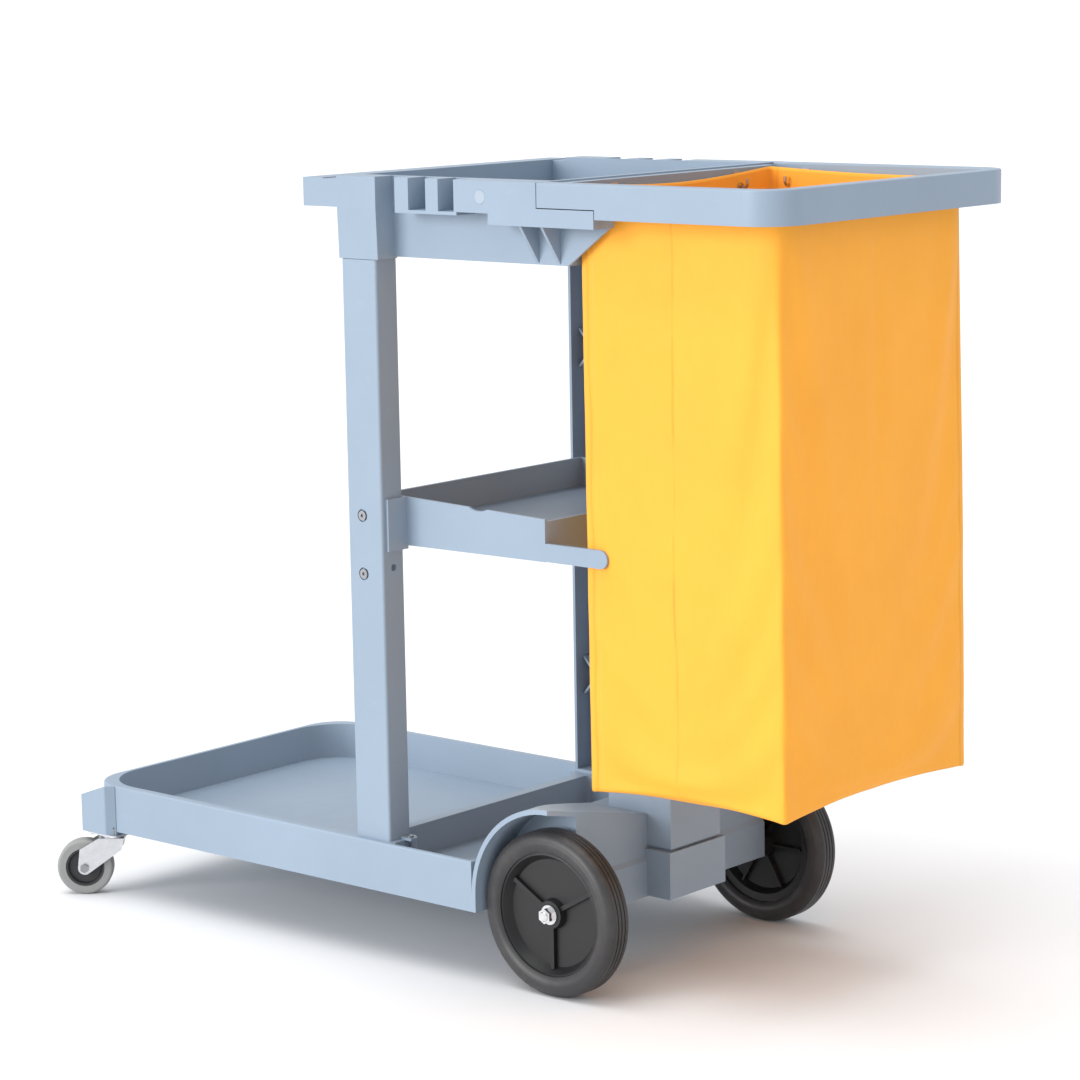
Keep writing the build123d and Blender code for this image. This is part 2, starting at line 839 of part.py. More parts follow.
def bag_hooks():
    with BuildPart() as hooks:
        for place, outward in eyelet_places():
            start, inside, tip = hook_route(place, outward)
            with BuildLine() as wire:
                FilletPolyline(start, inside, tip, radius=5)
            with BuildSketch(Plane(origin=start, z_dir=(Vector(*inside) - Vector(*start)))):
                Circle(2)
            sweep(path=wire.line)
            # Back plate against the frame, tall enough for its screw
            with BuildSketch(plane_up(start, outward)):
                with Locations((0, 8)):
                    RectangleRounded(14, 22, 3)
                with Locations((0, hook_screw_z - hook_z)):
                    Circle(1.55, mode=Mode.SUBTRACT)
            extrude(amount=-2)
    return hooks.part


def plane_up(origin, outward):
    """A plane facing outwards whose local y is up."""
    ox, oy, _ = outward
    return Plane(origin=origin, x_dir=(-oy, ox, 0), z_dir=outward)


def hook_screws():
    with BuildPart() as screws:
        for place, outward in eyelet_places():
            start, _, _ = hook_route(place, outward)
            sx, sy, _ = start
            ox, oy, _ = outward
            with BuildSketch(plane_up((sx - ox * 2, sy - oy * 2, hook_screw_z), outward)):
                Circle(3.2)
            extrude(amount=-1.6)
            with BuildSketch(plane_up((sx - ox * 2, sy - oy * 2, hook_screw_z), outward)):
                Circle(1.5)
            extrude(amount=5.5)
    return screws.part


# Fasteners -----------------------------------------------------------------------------


def shelf_bolts():
    with BuildPart() as bolts:
        for side in (near, far):
            for z in bolt_z:
                rod(bolt_x, z, 6.0, side_band(side, post_outer - 2.58, post_outer + 0.6))
                rod(bolt_x, z, 3.0, side_band(side, 199, post_outer - 2.5))
                with BuildSketch(Plane.XZ.offset(-side * (post_outer + 0.7))):
                    with Locations((bolt_x, z)):
                        RegularPolygon(2.4, 6)
                extrude(amount=side * 1.9, mode=Mode.SUBTRACT)
    return bolts.part


def cap_screws():
    with BuildPart() as screws:
        for side in (near, far):
            with Locations((cap_x[0] - 1.2, side * cap_screw[0], cap_screw[1])):
                Cylinder(5.0, 2.4, rotation=(0, 90, 0))
            with Locations((cap_x[0] + 4.9, side * cap_screw[0], cap_screw[1])):
                Cylinder(1.95, 10, rotation=(0, 90, 0))
    return screws.part


def foot_screws():
    with BuildPart() as screws:
        for side in (near, far):
            with Locations((1.0, side * 206.0, base_top + 4.25)):
                Cylinder(4.6, 2.4)
            with Locations((1.0, side * 206.0, base_top - 3.45)):
                Cylinder(1.95, 13.1)
    return screws.part


def arm_screws():
    with BuildPart() as screws:
        for side in (near, far):
            x, y = arm_screw
            with BuildSketch(Plane.XZ.offset(-side * y)):
                with BuildLine():
                    Polyline(
                        (x, lap_z - 6),
                        (x + 2.15, lap_z - 6),
                        (x + 2.15, cart_height - 3.2),
                        (x + 4.9, cart_height - 0.3),
                        (x, cart_height - 0.3),
                        close=True,
                    )
                make_face()
            revolve(axis=Axis((x, side * y, 0), (0, 0, 1)))
    return screws.part


def side_plugs():
    with BuildPart() as plugs:
        for side in (near, far):
            rod(plug_x, 956, 8.0, side_band(side, plug_seat, plug_seat + 1.3))
            rod(plug_x, 956, 5.9, side_band(side, top_half - 3.5, plug_seat + 0.1))
    return plugs.part


# Casters -------------------------------------------------------------------------------


def plate_screw_offsets():
    return [(dx, dy) for dx in (-20, 20) for dy in (-18, 18)]


def caster_frame(side):
    """Local plane of a caster: origin on the swivel axis at the floor, x towards the wheel."""
    turn = radians(trail_angle)
    toward_wheel = (-cos(turn), side * sin(turn), 0)
    return Plane(origin=(caster_x, side * caster_y, 0), x_dir=toward_wheel, z_dir=(0, 0, 1))


def in_caster(side, part):
    """Place a piece modelled about the swivel axis, wheel towards +X, at one corner."""
    return caster_frame(side).location * part


def caster_plate(side):
    with BuildPart() as plate:
        with BuildSketch(Plane.XY.offset(plate_top - plate_thick)):
            with Locations((caster_x, side * caster_y)):
                RectangleRounded(56, 50, 6)
                with GridLocations(40, 36, 2, 2):
                    Circle(2.4, mode=Mode.SUBTRACT)
                Circle(4.05, mode=Mode.SUBTRACT)
        extrude(amount=plate_thick)
    return plate.part


def caster_raceway(side):
    """The pressed ring of balls between plate and fork, shown as one closed bearing."""
    top = plate_top - plate_thick
    with BuildPart() as race:
        with BuildSketch(Plane.XZ):
            with BuildLine():
                Polyline(
                    (4.05, top),
                    (19, top),
                    (20, top - 2.2),
                    (17, top - race_height + 0.1),
                    (4.05, top - race_height + 0.1),
                    close=True,
                )
            make_face()
        revolve(axis=Axis.Z)
    return in_caster(side, race.part)


def caster_kingpin(side):
    top = plate_top
    low = top - plate_thick - race_height - fork_skin - 0.1
    with BuildPart() as pin:
        with BuildSketch(Plane.XZ):
            with BuildLine():
                Polyline(
                    (0, top),
                    (4, top),
                    (4, low),
                    (7, low),
                    (6, low - 3),
                    (0, low - 3),
                    close=True,
                )
            make_face()
        revolve(axis=Axis.Z)
    return in_caster(side, pin.part)


def caster_fork(side):
    top = plate_top - plate_thick - race_height
    half = fork_gap / 2
    with BuildPart() as fork:
        with BuildSketch(Plane.XY.offset(top - fork_skin)):
            with BuildLine():
                Polyline(
                    (-15, -half - fork_skin),
                    (20, -half - fork_skin),
                    (20, half + fork_skin),
                    (-15, half + fork_skin),
                    close=True,
                )
            make_face()
            Circle(4.06, mode=Mode.SUBTRACT)
        extrude(amount=fork_skin)
        # Two legs that slope down to the axle
        for leg in (-1, 1):
            with BuildSketch(Plane.XZ.offset(-leg * half)):
                with BuildLine():
                    Polyline(
                        (-15, top),
                        (20, top),
                        (caster_trail + 6, 63),
                        (caster_trail + 9, caster_r),
                    )
                    ThreePointArc(
                        (caster_trail + 9, caster_r),
                        (caster_trail + 3, caster_r - 8.5),
                        (caster_trail - 6, caster_r - 7),
                    )
                    Polyline((caster_trail - 6, caster_r - 7), (-11, 62), (-15, top))
                make_face()
            extrude(amount=-leg * fork_skin)
        rod(caster_trail, caster_r, 3.05, (-30, 30), mode=Mode.SUBTRACT)
    return in_caster(side, fork.part)


def caster_tyre(side):
    with BuildPart() as tyre:
        with BuildSketch(Plane.XY) as section:
            with Locations(((26 + caster_r) / 2, 0)):
                Rectangle(caster_r - 26, caster_width)
            fillet(section.vertices().sort_by(Axis.X)[-2:], 4)
        revolve(axis=Axis.Y)
    return in_caster(side, Pos(caster_trail, 0, caster_r) * tyre.part)


def caster_core(side):
    with BuildPart() as core:
        with BuildSketch(Plane.XY):
            with BuildLine():
                Polyline(
                    (5, -12.2),
                    (10, -12.2),
                    (11, -6),
                    (21, -6),
                    (23, -10),
                    (26, -10.5),
                    (26, 10.5),
                    (23, 10),
                    (21, 6),
                    (11, 6),
                    (10, 12.2),
                    (5, 12.2),
                    close=True,
                )
            make_face()
        revolve(axis=Axis.Y)
    return in_caster(side, Pos(caster_trail, 0, caster_r) * core.part)


def caster_sleeve(side):
    with BuildPart() as sleeve:
        with BuildSketch(Plane.XZ):
            with Locations((caster_trail, caster_r)):
                Circle(4.95)
                Circle(3.02, mode=Mode.SUBTRACT)
        extrude(amount=12.9, both=True)
    return in_caster(side, sleeve.part)


def caster_bolt(side):
    """The wheel bolt; its head is on the side of the fork away from the cart."""
    outer = fork_gap / 2 + fork_skin
    away = -side
    with BuildPart() as bolt:
        rod(caster_trail, caster_r, 3.0, (away * (outer + 0.1), -away * (outer + 6.5)))
        with BuildSketch(Plane(origin=(caster_trail, away * outer, caster_r), z_dir=(0, away, 0))):
            RegularPolygon(6, 6)
        extrude(amount=4)
    return in_caster(side, bolt.part)


def caster_nut(side):
    outer = fork_gap / 2 + fork_skin
    away = -side
    with BuildPart() as nut:
        with BuildSketch(Plane(origin=(caster_trail, -away * outer, caster_r), z_dir=(0, -away, 0))):
            RegularPolygon(6, 6)
            Circle(3.02, mode=Mode.SUBTRACT)
        extrude(amount=5)
    return in_caster(side, nut.part)


def caster_screws():
    with BuildPart() as screws:
        for side in (near, far):
            for dx, dy in plate_screw_offsets():
                spot = (caster_x + dx, side * caster_y + dy)
                with BuildSketch(Plane.XY.offset(plate_top - plate_thick - 2.2)):
                    with Locations(spot):
                        Circle(4)
                extrude(amount=2.2)
                with BuildSketch(Plane.XY.offset(plate_top - plate_thick)):
                    with Locations(spot):
                        Circle(1.95)
                extrude(amount=11)
    return screws.part


def main():
    save(base_platform(), "base_platform")
    save(mid_shelf(), "mid_shelf")
    save(top_tray(), "top_tray")
    save(bag_frame(), "bag_frame")
    save(bag(), "bag")
    save(bag_eyelets(), "bag_eyelets")
    save(bag_hooks(), "bag_hooks")
    save(hook_screws(), "hook_screws")
    save(rear_axle(), "rear_axle")
    save(axle_washers(), "axle_washers")
    save(axle_nuts(), "axle_nuts")
    save(shelf_bolts(), "shelf_bolts")
    save(cap_screws(), "cap_screws")
    save(foot_screws(), "foot_screws")
    save(arm_screws(), "arm_screws")
    save(side_plugs(), "side_plugs")
    save(caster_screws(), "caster_screws")
    for side, word in ((near, "near"), (far, "far")):
        save(upright(side), f"{word}_upright")
        save(rear_tyre(side), f"{word}_rear_tyre")
        save(wheel_hub(side), f"{word}_wheel_hub")
        save(hub_bush(side), f"{word}_hub_bush")
        save(caster_plate(side), f"{word}_caster_plate")
        save(caster_raceway(side), f"{word}_caster_raceway")
        save(caster_kingpin(side), f"{word}_caster_kingpin")
        save(caster_fork(side), f"{word}_caster_fork")
        save(caster_tyre(side), f"{word}_caster_tyre")
        save(caster_core(side), f"{word}_caster_core")
        save(caster_sleeve(side), f"{word}_caster_sleeve")
        save(caster_bolt(side), f"{word}_caster_bolt")
        save(caster_nut(side), f"{word}_caster_nut")


main()
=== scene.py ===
"""Looks for the housekeeping cart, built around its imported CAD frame."""

import math

import bmesh
import bpy
from mathutils import Matrix, Vector, noise


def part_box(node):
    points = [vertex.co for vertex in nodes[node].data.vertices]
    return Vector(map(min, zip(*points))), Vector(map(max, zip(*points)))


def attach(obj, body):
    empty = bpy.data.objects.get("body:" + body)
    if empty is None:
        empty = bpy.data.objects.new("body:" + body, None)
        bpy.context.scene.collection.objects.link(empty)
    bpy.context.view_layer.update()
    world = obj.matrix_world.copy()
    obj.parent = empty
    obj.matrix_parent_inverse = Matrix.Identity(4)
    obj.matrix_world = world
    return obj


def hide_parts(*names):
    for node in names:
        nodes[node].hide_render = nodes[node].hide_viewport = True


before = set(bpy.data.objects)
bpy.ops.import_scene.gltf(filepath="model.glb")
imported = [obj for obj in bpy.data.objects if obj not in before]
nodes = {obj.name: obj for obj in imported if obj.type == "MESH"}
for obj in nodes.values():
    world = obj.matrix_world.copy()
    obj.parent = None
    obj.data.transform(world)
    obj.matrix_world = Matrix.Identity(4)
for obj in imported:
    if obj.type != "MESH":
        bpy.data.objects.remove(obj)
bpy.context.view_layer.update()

# Node-tree helpers ------------------------------------------------------------------------
# The colour sockets of a Mix node, counted among its sockets for every kind of data
MIX_FACTOR, MIX_A, MIX_B = 0, 6, 7
MIX_RESULT = 2


class Look:
    """One material: a Principled shader and the textures that drive it."""

    def __init__(self, name, roughness=0.5, metallic=0.0, **constants):
        self.material = bpy.data.materials.new(name)
        self.material.use_nodes = True
        self.tree = self.material.node_tree
        self.tree.nodes.clear()
        self.shader = self.node("ShaderNodeBsdfPrincipled")
        out = self.node("ShaderNodeOutputMaterial")
        self.link(self.shader, "BSDF", out, "Surface")
        self.shader.inputs["Roughness"].default_value = roughness
        self.shader.inputs["Metallic"].default_value = metallic
        for key, value in constants.items():
            self.shader.inputs[key.replace("_", " ")].default_value = value
        self.coords = self.node("ShaderNodeTexCoord")

    def node(self, kind, **settings):
        made = self.tree.nodes.new(kind)
        for key, value in settings.items():
            setattr(made, key, value)
        return made

    def link(self, a, out_name, b, in_name):
        self.tree.links.new(a.outputs[out_name], b.inputs[in_name])

    def mapped(self, stretch):
        """Object coordinates, squeezed or stretched along each axis."""
        mapping = self.node("ShaderNodeMapping")
        mapping.inputs["Scale"].default_value = stretch
        self.link(self.coords, "Object", mapping, "Vector")
        return mapping

    def noise(self, scale, detail=2.0, rough=0.5, stretch=None, distortion=0.0):
        tex = self.node("ShaderNodeTexNoise")
        tex.inputs["Scale"].default_value = scale
        tex.inputs["Detail"].default_value = detail
        tex.inputs["Roughness"].default_value = rough
        tex.inputs["Distortion"].default_value = distortion
        if stretch:
            self.link(self.mapped(stretch), "Vector", tex, "Vector")
        else:
            self.link(self.coords, "Object", tex, "Vector")
        return tex, "Fac"

    def voronoi(self, scale, feature="F1", out="Distance", stretch=None):
        tex = self.node("ShaderNodeTexVoronoi", feature=feature)
        tex.inputs["Scale"].default_value = scale
        if stretch:
            self.link(self.mapped(stretch), "Vector", tex, "Vector")
        else:
            self.link(self.coords, "Object", tex, "Vector")
        return tex, out

    def ramp(self, source, stops):
        """A colour ramp over a value; stops are (position, grey or colour)."""
        ramp = self.node("ShaderNodeValToRGB")
        self.link(source[0], source[1], ramp, "Fac")
        elements = ramp.color_ramp.elements
        while len(elements) < len(stops):
            elements.new(0.5)
        for element, (place, value) in zip(elements, stops):
            element.position = place
            if not hasattr(value, "__len__"):
                value = (value, value, value)
            element.color = (*value, 1.0)
        return ramp, "Color"

    def mix(self, factor, a, b, blend="MIX"):
        """Mixes two colours; each is a (node, socket) pair or a plain colour."""
        mix = self.node("ShaderNodeMix", data_type="RGBA", blend_type=blend)
        for place, value in ((MIX_FACTOR, factor), (MIX_A, a), (MIX_B, b)):
            if isinstance(value, tuple) and hasattr(value[0], "outputs"):
                self.tree.links.new(value[0].outputs[value[1]], mix.inputs[place])
            elif place == MIX_FACTOR:
                mix.inputs[place].default_value = value
            else:
                mix.inputs[place].default_value = (*value, 1.0)
        return mix, MIX_RESULT

    def math(self, operation, a, b):
        made = self.node("ShaderNodeMath", operation=operation)
        for place, value in ((0, a), (1, b)):
            if isinstance(value, tuple):
                self.tree.links.new(value[0].outputs[value[1]], made.inputs[place])
            else:
                made.inputs[place].default_value = value
        return made, "Value"

    def near(self, source, line, width):
        """1 within a width of a value, falling smoothly to 0 beside it."""
        away = self.math("ABSOLUTE", self.math("SUBTRACT", source, line), 0.0)
        fall = self.node("ShaderNodeMapRange", interpolation_type="SMOOTHSTEP")
        fall.inputs["From Max"].default_value = width
        fall.inputs["To Min"].default_value = 1.0
        fall.inputs["To Max"].default_value = 0.0
        self.tree.links.new(away[0].outputs[away[1]], fall.inputs["Value"])
        return fall, "Result"

    def largest(self, sources):
        """The largest of several values."""
        best = sources[0]
        for source in sources[1:]:
            best = self.math("MAXIMUM", best, source)
        return best

    def dashes(self, source, pitch, share):
        """Dashes along a distance in metres, each a share of the pitch long."""
        turn = self.math("FRACT", self.math("DIVIDE", source, pitch), 0.0)
        return self.math("LESS_THAN", turn, share)

    def color(self, source):
        self.tree.links.new(source[0].outputs[source[1]], self.shader.inputs["Base Color"])
        return self

    def roughness(self, source, low, high):
        span = self.node("ShaderNodeMapRange")
        span.inputs["To Min"].default_value = low
        span.inputs["To Max"].default_value = high
        self.tree.links.new(source[0].outputs[source[1]], span.inputs["Value"])
        self.link(span, "Result", self.shader, "Roughness")
        return self

    def bump(self, *layers):
        """Stacked bumps; each layer is (source, strength, distance in metres)."""
        previous = None
        for source, strength, distance in layers:
            bump = self.node("ShaderNodeBump")
            bump.inputs["Strength"].default_value = strength
            bump.inputs["Distance"].default_value = distance
            self.tree.links.new(source[0].outputs[source[1]], bump.inputs["Height"])
            if previous:
                self.link(previous, "Normal", bump, "Normal")
            previous = bump
        self.link(previous, "Normal", self.shader, "Normal")
        return self

    def place(self, *names):
        for name in names:
            target = nodes[name]
            target.data.materials.clear()
            target.data.materials.append(self.material)
        return self


def scaled(color, factor):
    return tuple(min(1.0, c * factor) for c in color)


# Bag's shape ------------------------------------------------------------------------------
# Metres. Front is the side at the tray, rear the side at the far end of the frame.

bag_low, bag_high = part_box("bag")
HEM_FRONT_CORNER = 0.9725
HEM_REAR_CORNER = 0.9665
HEM_FRONT_SAG = 0.0095
HEM_SIDE_SAG = 0.0025
BAG_BOTTOM = bag_low.z + 0.001
REAR_LIFT = 0.003
BOTTOM_BOW = 0.013
BAG_HALF = 0.1842
HANG_SHIFT = -0.005
CORNER_TOP = 0.024
CORNER_BOTTOM = 0.004
CELLS_X = 34
CELLS_Y = 42
CELLS_Z = 84
LENGTH = bag_high.x - bag_low.x
WIDTH = 2 * BAG_HALF
TALL = HEM_REAR_CORNER - BAG_BOTTOM
HEM = 0.030
SEAM_LINES = (0.012, LENGTH + WIDTH - 0.012, 2 * LENGTH + WIDTH - 0.012)
PRESSED_FOLD = 0.468 * LENGTH

# How the bag's walls stand out of their flat shape, in metres
BELLY = 0.0035
MIDDLE_FOLD = 0.0020
MIDDLE_FOLD_WIDTH = 0.030
RIPPLE = 0.0016
BILLOW = 0.0026

# Bottom panel: its height above the lower seam and its rise in the middle
PANEL_GAP = 0.004
PANEL_RISE = 0.010

# Sewing, in metres
SEAM_FOLD = 0.0035
SEAM_TO_STITCHES = 0.009
STITCH_WIDTH = 0.0012
STITCH_PITCH = 0.0045
STITCH_SHARE = 0.68
HEM_FOLD = 0.0022
HEM_TO_STITCHES = 0.004
THREAD_COLOR = (0.80, 0.47, 0.11)
CLOTH_THICKNESS = 0.0011

# Draping
SETTLE_FRAMES = 22
LARGEST_MOVE = 0.007


# Materials --------------------------------------------------------------------------------


def moulded_plastic(name, color, rough_low, rough_high, scuffs):
    """Injection-moulded plastic: fine grain, flow mottling, faint scuffs and settled dust."""
    look = Look(name, Specular_IOR_Level=0.42)
    mottle = look.noise(7.0, 3.0, 0.55)
    blotches = look.ramp(mottle, ((0.3, 0.0), (0.75, 1.0)))
    base = look.mix(blotches, scaled(color, 0.965), scaled(color, 1.03))
    speck = look.ramp(look.noise(950.0, 1.0), ((0.62, 0.0), (0.72, 1.0)))
    base = look.mix(look.math("MULTIPLY", speck, 0.06), base, scaled(color, 0.7))
    streaks = look.noise(16.0, 6.0, 0.7, stretch=(1.0, 6.0, 9.0), distortion=0.6)
    marks = look.ramp(streaks, ((0.60, 0.0), (0.64, 1.0)))
    broken = look.ramp(look.noise(120.0, 4.0, 0.7), ((0.48, 0.0), (0.62, 1.0)))
    scuff = look.math("MULTIPLY", look.math("MULTIPLY", marks, broken), scuffs)
    base = look.mix(scuff, base, scaled(color, 1.25))
    look.color(base)
    look.roughness(look.noise(40.0, 4.0, 0.6), rough_low, rough_high)
    look.bump(
        (look.noise(5.0, 2.0), 0.12, 0.002),
        (look.noise(1300.0, 2.0, 0.6), 0.22, 0.00022),
    )
    return look


def rubber(name, color, dust, rough_low=0.55, rough_high=0.78):
    """Dull rubber with chalky dust in its low spots."""
    look = Look(name, Specular_IOR_Level=0.38)
    patches = look.ramp(look.noise(28.0, 5.0, 0.65), ((0.42, 0.0), (0.70, 1.0)))
    base = look.mix(look.math("MULTIPLY", patches, 0.35), color, dust)
    grit = look.ramp(look.noise(700.0, 2.0), ((0.60, 0.0), (0.70, 1.0)))
    base = look.mix(look.math("MULTIPLY", grit, 0.18), base, dust)
    look.color(base)
    look.roughness(look.noise(60.0, 3.0), rough_low, rough_high)
    look.bump((look.noise(90.0, 3.0), 0.12, 0.0006), (look.noise(1500.0, 2.0), 0.25, 0.00015))
    return look


def metal(name, color, rough_low, rough_high, grain=0.10, spangle=0.0):
    """Plated steel: slight tarnish, rolled grain, and a zinc spangle where wanted."""
    look = Look(name, metallic=1.0)
    tarnish = look.ramp(look.noise(70.0, 4.0, 0.6), ((0.35, 0.0), (0.75, 1.0)))
    base = look.mix(look.math("MULTIPLY", tarnish, 0.5), color, scaled(color, 0.72))
    if spangle:
        flakes = look.voronoi(420.0, out="Color")
        grey = look.node("ShaderNodeRGBToBW")
        look.tree.links.new(flakes[0].outputs["Color"], grey.inputs["Color"])
        amount = look.math("MULTIPLY", (grey, "Val"), spangle)
        base = look.mix(amount, base, scaled(color, 1.25))
    look.color(base)
    look.roughness(look.noise(160.0, 4.0, 0.6), rough_low, rough_high)
    look.bump((look.noise(900.0, 3.0, 0.6), grain, 0.0001))
    return look


def bag_cloth_look():
    """Coated woven nylon: fine weave, soft sheen, uneven dye, sewn edges and a pressed fold, with
    painted shade darkening the seam folds, the hem edge and the pressed fold.
    """
    look = Look("bag_cloth", Specular_IOR_Level=0.25, Sheen_Weight=0.06, Sheen_Roughness=0.45)
    yellow = (0.99, 0.412, 0.040)
    cloudy = look.ramp(look.noise(9.0, 4.0, 0.6), ((0.3, 0.0), (0.75, 1.0)))
    base = look.mix(cloudy, scaled(yellow, 0.955), scaled(yellow, 1.04))
    thick_yarn = look.noise(60.0, 3.0, 0.6, stretch=(9.0, 9.0, 0.5))
    slub = look.ramp(thick_yarn, ((0.40, 0.0), (0.75, 1.0)))
    base = look.mix(look.math("MULTIPLY", slub, 0.10), base, scaled(yellow, 0.80))
    # A plain weave from two crossed sets of threads, one up the cloth, one round it
    threads = []
    for direction in ("X", "Y"):
        wave = look.node("ShaderNodeTexWave", wave_type="BANDS", bands_direction=direction)
        wave.inputs["Scale"].default_value = 300.0
        look.link(look.coords, "UV", wave, "Vector")
        threads.append((wave, "Fac"))
    weave = look.math("MULTIPLY", *threads)
    base = look.mix(look.math("MULTIPLY", weave, 0.10), base, scaled(yellow, 1.10))
    # Sewn edges: a raised fold with a row of stitches beside it, up each corner and round the hem;
    # the folds are also darkened with painted shade
    split = look.node("ShaderNodeSeparateXYZ")
    look.link(look.coords, "UV", split, "Vector")
    around, down = (split, "X"), (split, "Y")
    folds, rows = [], []
    for line in SEAM_LINES:
        folds.append(look.near(around, line, SEAM_FOLD))
        for way in (-1, 1):
            rows.append(look.near(around, line + way * SEAM_TO_STITCHES, STITCH_WIDTH))
    hem_edge = look.near(down, HEM, HEM_FOLD)
    # A fold pressed down the middle of the near side while the bag lay flat, bumped and darkened
    # with painted shade
    wander = look.math("MULTIPLY", look.noise(7.0, 2.0), 0.012)
    patchy = look.ramp(look.noise(11.0, 3.0), ((0.36, 0.25), (0.60, 1.0)))
    pressed = look.near(look.math("ADD", around, wander), PRESSED_FOLD + 0.006, 0.0026)
    pressed = look.math("MULTIPLY", pressed, patchy)
    dash = (STITCH_PITCH, STITCH_SHARE)
    seam_stitches = look.math("MULTIPLY", look.largest(rows), look.dashes(down, *dash))
    hem_row = look.near(down, HEM - HEM_TO_STITCHES, STITCH_WIDTH)
    hem_stitches = look.math("MULTIPLY", hem_row, look.dashes(around, *dash))
    stitches = look.math("MAXIMUM", seam_stitches, hem_stitches)
    # Painted shade: the seam folds and the hem edge are darkened as if shade lay in their creases
    fold_shade = look.math("MAXIMUM", look.largest(folds), hem_edge)
    base = look.mix(look.math("MULTIPLY", fold_shade, 0.30), base, scaled(yellow, 0.62))
    # Painted shade darkens the cloth along the pressed fold
    base = look.mix(look.math("MULTIPLY", pressed, 0.42), base, scaled(yellow, 0.66))
    base = look.mix(look.math("MULTIPLY", stitches, 0.75), base, THREAD_COLOR)
    look.color(base)
    look.roughness(look.noise(30.0, 3.0), 0.52, 0.68)
    hem_band = look.math("LESS_THAN", down, HEM)
    look.bump(
        (look.noise(14.0, 4.0, 0.55, stretch=(2.6, 2.6, 0.6)), 0.30, 0.004),
        (look.noise(90.0, 3.0, 0.6), 0.20, 0.0006),
        (hem_band, 0.5, 0.0010),
        (look.largest(folds), 0.5, 0.0016),
        (pressed, 0.6, 0.0014),
        (stitches, 0.5, 0.0006),
        (weave, 0.25, 0.00035),
    )
    return look


def both(*names):
    """The names of a near and a far piece for each name."""
    return [f"{side}_{name}" for side in ("near", "far") for name in names]


def dress_plastics():
    body = moulded_plastic("grey_blue_plastic", (0.265, 0.335, 0.420), 0.34, 0.48, 0.22)
    body.place("base_platform", "mid_shelf", "top_tray", "bag_frame", *both("upright"))
    plugs = moulded_plastic("plug_plastic", (0.33, 0.39, 0.46), 0.36, 0.48, 0.1)
    plugs.place("side_plugs")
    hubs = moulded_plastic("black_hub_plastic", (0.011, 0.011, 0.012), 0.36, 0.52, 0.30)
    hubs.place(*both("wheel_hub"))
    cores = moulded_plastic("caster_core_plastic", (0.030, 0.030, 0.032), 0.40, 0.55, 0.2)
    cores.place(*both("caster_core"))
    bushes = moulded_plastic("nylon", (0.60, 0.58, 0.52), 0.35, 0.45, 0.0)
    bushes.place(*both("hub_bush"))


def dress_rubber():
    black = rubber("black_rubber", (0.034, 0.033, 0.035), (0.085, 0.082, 0.080), 0.34, 0.50)
    black.place(*both("rear_tyre"))
    grey = rubber("grey_rubber", (0.270, 0.275, 0.270), (0.36, 0.36, 0.35))
    grey.place(*both("caster_tyre"))


def dress_metal():
    zinc = metal("zinc_pressing", (0.66, 0.67, 0.69), 0.28, 0.45, spangle=0.25)
    zinc.place(*both("caster_fork", "caster_plate", "caster_raceway"))
    fastener = metal("zinc_fastener", (0.33, 0.335, 0.35), 0.30, 0.45)
    fastener.place(*both("caster_bolt", "caster_nut", "caster_sleeve", "caster_kingpin"))
    fastener.place("shelf_bolts", "cap_screws", "foot_screws", "arm_screws", "hook_screws")
    fastener.place("caster_screws")
    bright = metal("bright_plate", (0.80, 0.80, 0.82), 0.10, 0.22, grain=0.04)
    bright.place("axle_nuts", "axle_washers", "rear_axle")
    wire = metal("hook_wire", (0.52, 0.52, 0.54), 0.24, 0.38)
    wire.place("bag_hooks", "bag_eyelets")


dress_plastics()
dress_rubber()
dress_metal()
cloth_look = bag_cloth_look()

# Bag --------------------------------------------------------------------------------------

def bag_columns():
    """Walks once round the bag: (side, share along that side) for each column of the mesh."""
    walk = []
    for side, cells in enumerate((CELLS_X, CELLS_Y, CELLS_X, CELLS_Y)):
        walk += [(side, i / cells) for i in range(cells)]
    return walk


def bag_point(side, share, down):
    """A point on the bag before it is draped: side and share place it round the bag."""
    x0, x1 = bag_low.x, bag_high.x
    shift = HANG_SHIFT * (1 - down)
    y0, y1 = shift - BAG_HALF, shift + BAG_HALF
    corners = ((x0, y0), (x1, y0), (x1, y1), (x0, y1), (x0, y0))
    (ax, ay), (bx, by) = corners[side], corners[side + 1]
    run = LENGTH if side % 2 == 0 else WIDTH
    along, inward = rounded(share * run, run, corner_radii(side, down))
    x = ax + (bx - ax) * along / run
    y = ay + (by - ay) * along / run
    bow = math.sin(math.pi * share)
    ends = (HEM_FRONT_CORNER, HEM_REAR_CORNER, HEM_REAR_CORNER, HEM_FRONT_CORNER, HEM_FRONT_CORNER)
    sag = HEM_FRONT_SAG if side == 3 else HEM_SIDE_SAG
    top = ends[side] + (ends[side + 1] - ends[side]) * share - sag * bow
    lift = REAR_LIFT * (x - x0) / LENGTH
    bottom = BAG_BOTTOM + lift + BOTTOM_BOW * bow**0.8
    return Vector((x, y, top + (bottom - top) * down)) - side_normal(side) * inward


def corner_radii(side, down):
    """Corner radii at both ends of a side: the rear corners follow the frame's bend at the top."""
    soft = CORNER_BOTTOM + (CORNER_TOP - CORNER_BOTTOM) * (1 - down) ** 2
    crisp = CORNER_BOTTOM
    return ((crisp, soft), (soft, soft), (soft, crisp), (crisp, crisp))[side]


def rounded(along, run, radii):
    """Moves a point on a straight side on to the arc of a rounded corner: (along, inward)."""
    start, end = radii
    if along < start:
        turn = math.radians(45) * (1 - along / start)
        return start * (1 - math.sin(turn)), start * (1 - math.cos(turn))
    if run - along < end:
        turn = math.radians(45) * (1 - (run - along) / end)
        return run - end * (1 - math.sin(turn)), end * (1 - math.cos(turn))
    return along, 0.0


def side_normal(side):
    return (Vector((0, -1, 0)), Vector((1, 0, 0)), Vector((0, 1, 0)), Vector((-1, 0, 0)))[side]


